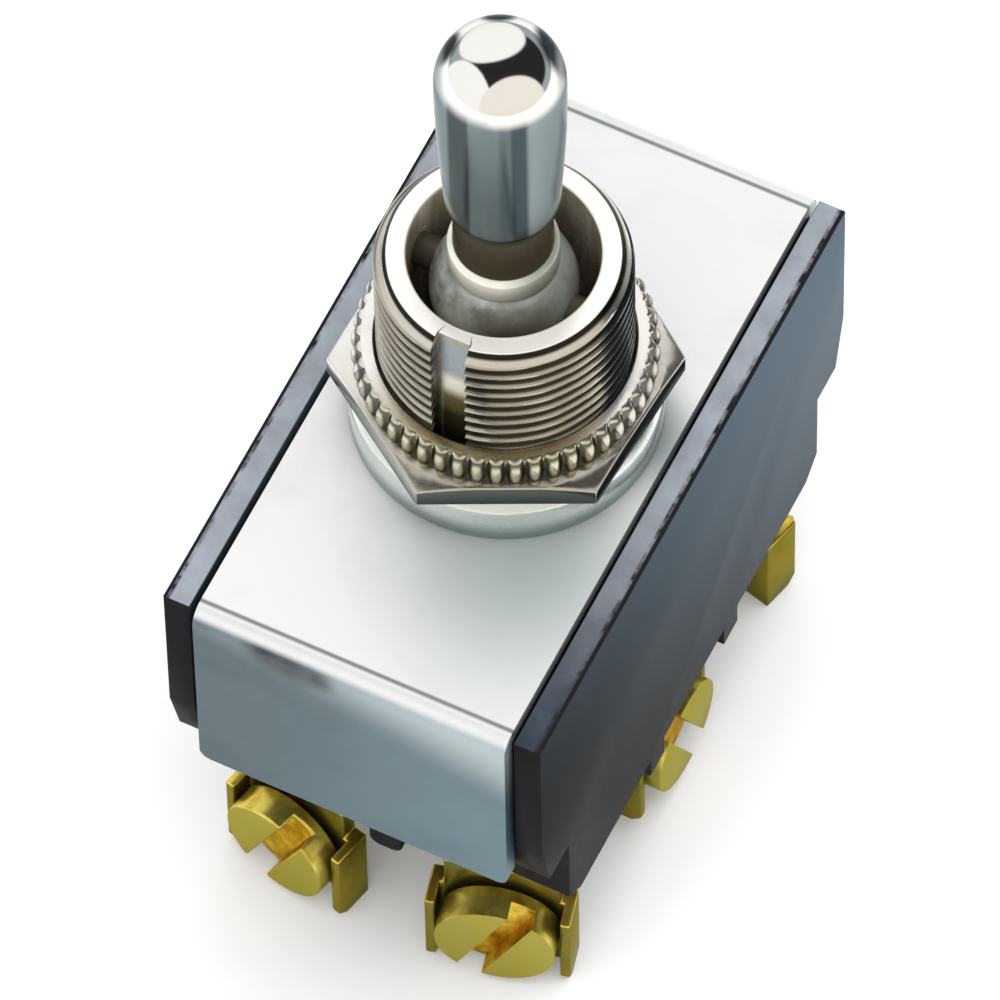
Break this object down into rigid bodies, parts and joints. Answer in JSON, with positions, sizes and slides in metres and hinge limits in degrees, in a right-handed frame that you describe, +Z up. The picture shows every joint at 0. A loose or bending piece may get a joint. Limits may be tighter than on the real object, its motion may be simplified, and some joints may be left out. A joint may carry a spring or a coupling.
{
  "type": "panel toggle switch",
  "caption": "Panel toggle switch with a tapered bat lever in a threaded bushing, folded metal frame over a moulded black case, and brass screw terminals underneath.",
  "frame": {"origin": "centre of the footprint, at the level of the lowest terminal edges, so that the switch stands on z = 0", "axes": "+Z up along the bushing and the upright lever, -Y the end whose side of the bushing has the keyway, +X to the right of it; the lever tilts about X"},
  "size_m": [0.0192, 0.033, 0.0592],
  "materials": {
    "zinc_plate": "bright zinc plated steel, rolled sheet",
    "black_phenolic": "moulded black thermoset, semi-gloss",
    "fibre_sheet": "vulcanised fibre, matt",
    "nickel": "nickel plated brass, turned",
    "chrome_lever": "polished chrome plate",
    "brass": "plain brass sheet, slightly dull",
    "brass_screw": "turned brass, bright",
    "steel_pin": "hardened steel",
    "spring_steel": "music wire",
    "nylon": "natural nylon",
    "copper": "bare copper strip",
    "contact_silver": "fine silver contact"
  },
  "bodies": {
    "housing": {"frame_strap": "zinc_plate", "insulator_sheet": "fibre_sheet", "case_moulding": "black_phenolic", "threaded_bushing": "nickel", "centre_terminal_left": "brass", "fixed_contact_left_front": "contact_silver", "end_terminal_left_front": "brass", "fixed_contact_left_rear": "contact_silver", "end_terminal_left_rear": "brass", "centre_terminal_right": "brass", "fixed_contact_right_front": "contact_silver", "end_terminal_right_front": "brass", "fixed_contact_right_rear": "contact_silver", "end_terminal_right_rear": "brass"},
    "lever": {"toggle_lever": "chrome_lever", "pivot_pin": "steel_pin", "actuator": "nylon", "plunger_spring_left": "spring_steel", "plunger_spring_right": "spring_steel"},
    "hex_nut": {"hex_nut": "nickel"},
    "knurled_nut": {"knurled_nut": "nickel"},
    "plunger_left": {"plunger_left": "brass"},
    "rocker_left": {"contact_rocker_left": "copper", "rocker_contact_left_front": "contact_silver", "rocker_contact_left_rear": "contact_silver"},
    "screw_left_centre": {"terminal_screw_left_centre": "brass_screw"},
    "screw_left_front": {"terminal_screw_left_front": "brass_screw"},
    "screw_left_rear": {"terminal_screw_left_rear": "brass_screw"},
    "plunger_right": {"plunger_right": "brass"},
    "rocker_right": {"contact_rocker_right": "copper", "rocker_contact_right_front": "contact_silver", "rocker_contact_right_rear": "contact_silver"},
    "screw_right_centre": {"terminal_screw_right_centre": "brass_screw"},
    "screw_right_front": {"terminal_screw_right_front": "brass_screw"},
    "screw_right_rear": {"terminal_screw_right_rear": "brass_screw"}
  },
  "joints": [
    {"name": "lever_tilt", "type": "hinge", "parent": "housing", "child": "lever", "pos_m": [0, 0, 0.039], "axis": [1, 0, 0], "range_deg": [-12, 12]},
    {"name": "hex_nut_spin", "type": "hinge", "parent": "housing", "child": "hex_nut", "pos_m": [0, 0, 0.0319], "axis": [0, 0, 1], "continuous": true},
    {"name": "knurled_nut_spin", "type": "hinge", "parent": "housing", "child": "knurled_nut", "pos_m": [0, 0, 0.0335], "axis": [0, 0, 1], "continuous": true},
    {"name": "plunger_press_left", "type": "slide", "parent": "lever", "child": "plunger_left", "axis": [0, 0, 1], "range_m": [0, 0.0008], "stiffness_N_per_m": 400, "springref_m": -0.002, "deforming": ["plunger_spring_left"]},
    {"name": "rocker_tilt_left", "type": "hinge", "parent": "housing", "child": "rocker_left", "pos_m": [-0.0042, 0, 0.0162], "axis": [1, 0, 0], "range_deg": [-8, 8]},
    {"name": "screw_spin_left_centre", "type": "hinge", "parent": "housing", "child": "screw_left_centre", "pos_m": [-0.008, 0, 0.0043], "axis": [-1, 0, 0], "continuous": true},
    {"name": "screw_spin_left_front", "type": "hinge", "parent": "housing", "child": "screw_left_front", "pos_m": [-0.00536, -0.01195, 0.0035], "axis": [-0.2419, -0.9703, 0], "continuous": true},
    {"name": "screw_spin_left_rear", "type": "hinge", "parent": "housing", "child": "screw_left_rear", "pos_m": [-0.00536, 0.01195, 0.0035], "axis": [-0.2419, 0.9703, 0], "continuous": true},
    {"name": "plunger_press_right", "type": "slide", "parent": "lever", "child": "plunger_right", "axis": [0, 0, 1], "range_m": [0, 0.0008], "stiffness_N_per_m": 400, "springref_m": -0.002, "deforming": ["plunger_spring_right"]},
    {"name": "rocker_tilt_right", "type": "hinge", "parent": "housing", "child": "rocker_right", "pos_m": [0.0042, 0, 0.0162], "axis": [1, 0, 0], "range_deg": [-8, 8]},
    {"name": "screw_spin_right_centre", "type": "hinge", "parent": "housing", "child": "screw_right_centre", "pos_m": [0.008, 0, 0.0043], "axis": [1, 0, 0], "continuous": true},
    {"name": "screw_spin_right_front", "type": "hinge", "parent": "housing", "child": "screw_right_front", "pos_m": [0.00536, -0.01195, 0.0035], "axis": [0.2419, -0.9703, 0], "continuous": true},
    {"name": "screw_spin_right_rear", "type": "hinge", "parent": "housing", "child": "screw_right_rear", "pos_m": [0.00536, 0.01195, 0.0035], "axis": [0.2419, 0.9703, 0], "continuous": true}
  ],
  "couplings": [
    {"joint": "rocker_tilt_left", "follows": "lever_tilt", "ratio": -0.65},
    {"joint": "rocker_tilt_right", "follows": "lever_tilt", "ratio": -0.65}
  ]
}
